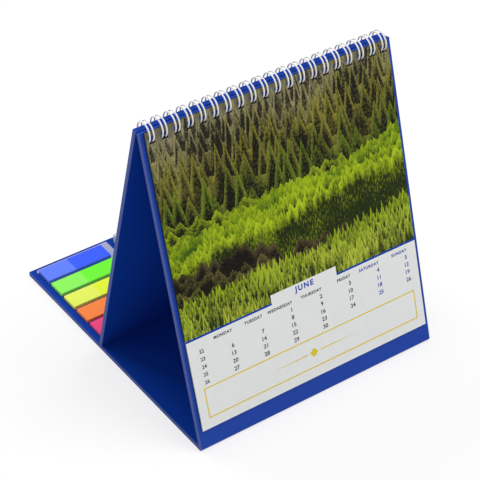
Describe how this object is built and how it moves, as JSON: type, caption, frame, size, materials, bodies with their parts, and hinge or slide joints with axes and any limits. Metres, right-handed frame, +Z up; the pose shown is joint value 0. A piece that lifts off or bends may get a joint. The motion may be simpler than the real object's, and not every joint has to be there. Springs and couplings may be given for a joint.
{
  "type": "desk calendar",
  "caption": "Folding board desk calendar: an A-shaped stand with month leaves on a white twin-loop wire, and a rear tray with coloured index flags and a note pad.",
  "frame": {"origin": "under the middle of the stand's footprint, on the surface it stands on", "axes": "+X to the viewer's right along the wire, +Y from the fold to the tray at the back, +Z up"},
  "size_m": [0.16, 0.1864, 0.185],
  "materials": {
    "dyed_board": "solid pulp board, dyed blue, cut edges",
    "blue_cover": "blue cover paper, satin laminate",
    "white_wire": "white nylon-coated steel wire",
    "leaf_paper": "coated white paper",
    "clear_tape": "double-sided film tape",
    "film_card": "matt clear film card",
    "note_paper": "uncoated white note paper",
    "flag_pink": "tinted film",
    "flag_orange": "tinted film",
    "flag_yellow": "tinted film",
    "flag_green": "tinted film",
    "flag_blue": "tinted film"
  },
  "bodies": {
    "base": {"base_core": "dyed_board", "base_bottom_cover": "blue_cover", "base_top_cover": "blue_cover", "fold_spine": "blue_cover", "flag_tape": "clear_tape", "flag_card": "film_card", "note_tape": "clear_tape", "note_pad": "note_paper", "flag_pad_pink": "flag_pink", "flag_pad_orange": "flag_orange", "flag_pad_yellow": "flag_yellow", "flag_pad_green": "flag_green", "flag_pad_blue": "flag_blue"},
    "front": {"front_core": "dyed_board", "front_face_cover": "blue_cover", "front_back_cover": "blue_cover", "wire_binding": "white_wire", "month_leaf_02": "leaf_paper", "month_leaf_03": "leaf_paper", "month_leaf_04": "leaf_paper", "month_leaf_05": "leaf_paper", "month_leaf_06": "leaf_paper", "month_leaf_07": "leaf_paper", "month_leaf_08": "leaf_paper"},
    "leg": {"leg_core": "dyed_board", "leg_inner_cover": "blue_cover", "leg_rear_cover": "blue_cover"},
    "front_leaf": {"month_leaf_01": "leaf_paper"},
    "note_sheet": {"note_top_sheet": "note_paper"},
    "flag_pink": {"flag_top_pink": "flag_pink"},
    "flag_orange": {"flag_top_orange": "flag_orange"},
    "flag_yellow": {"flag_top_yellow": "flag_yellow"},
    "flag_green": {"flag_top_green": "flag_green"},
    "flag_blue": {"flag_top_blue": "flag_blue"}
  },
  "joints": [
    {"name": "front_fold", "type": "hinge", "parent": "base", "child": "front", "pos_m": [0, -0.0912, 0.002], "axis": [1, 0, 0], "range_deg": [0, 104], "deforming": ["fold_spine"]},
    {"name": "leg_fold", "type": "hinge", "parent": "front", "child": "leg", "pos_m": [0, -0.0396, 0.17878], "axis": [-1, 0, 0], "range_deg": [0, 19]},
    {"name": "leaf_turn", "type": "hinge", "parent": "front", "child": "front_leaf", "pos_m": [0, -0.03947, 0.17921], "axis": [-1, 0, 0], "range_deg": [0, 178]},
    {"name": "note_lift", "type": "hinge", "parent": "base", "child": "note_sheet", "pos_m": [0, 0.0888, 0.0089], "axis": [-1, 0, 0], "range_deg": [0, 120]},
    {"name": "pink_flag_lift", "type": "hinge", "parent": "base", "child": "flag_pink", "pos_m": [-0.076, 0.02305, 0.0051], "axis": [0, -1, 0], "range_deg": [0, 110]},
    {"name": "orange_flag_lift", "type": "hinge", "parent": "base", "child": "flag_orange", "pos_m": [-0.076, 0.03787, 0.0051], "axis": [0, -1, 0], "range_deg": [0, 110]},
    {"name": "yellow_flag_lift", "type": "hinge", "parent": "base", "child": "flag_yellow", "pos_m": [-0.076, 0.0527, 0.0051], "axis": [0, -1, 0], "range_deg": [0, 110]},
    {"name": "green_flag_lift", "type": "hinge", "parent": "base", "child": "flag_green", "pos_m": [-0.076, 0.06753, 0.0051], "axis": [0, -1, 0], "range_deg": [0, 110]},
    {"name": "blue_flag_lift", "type": "hinge", "parent": "base", "child": "flag_blue", "pos_m": [-0.076, 0.08235, 0.0051], "axis": [0, -1, 0], "range_deg": [0, 110]}
  ],
  "couplings": [
    {"joint": "leg_fold", "follows": "front_fold", "ratio": 0.18}
  ]
}
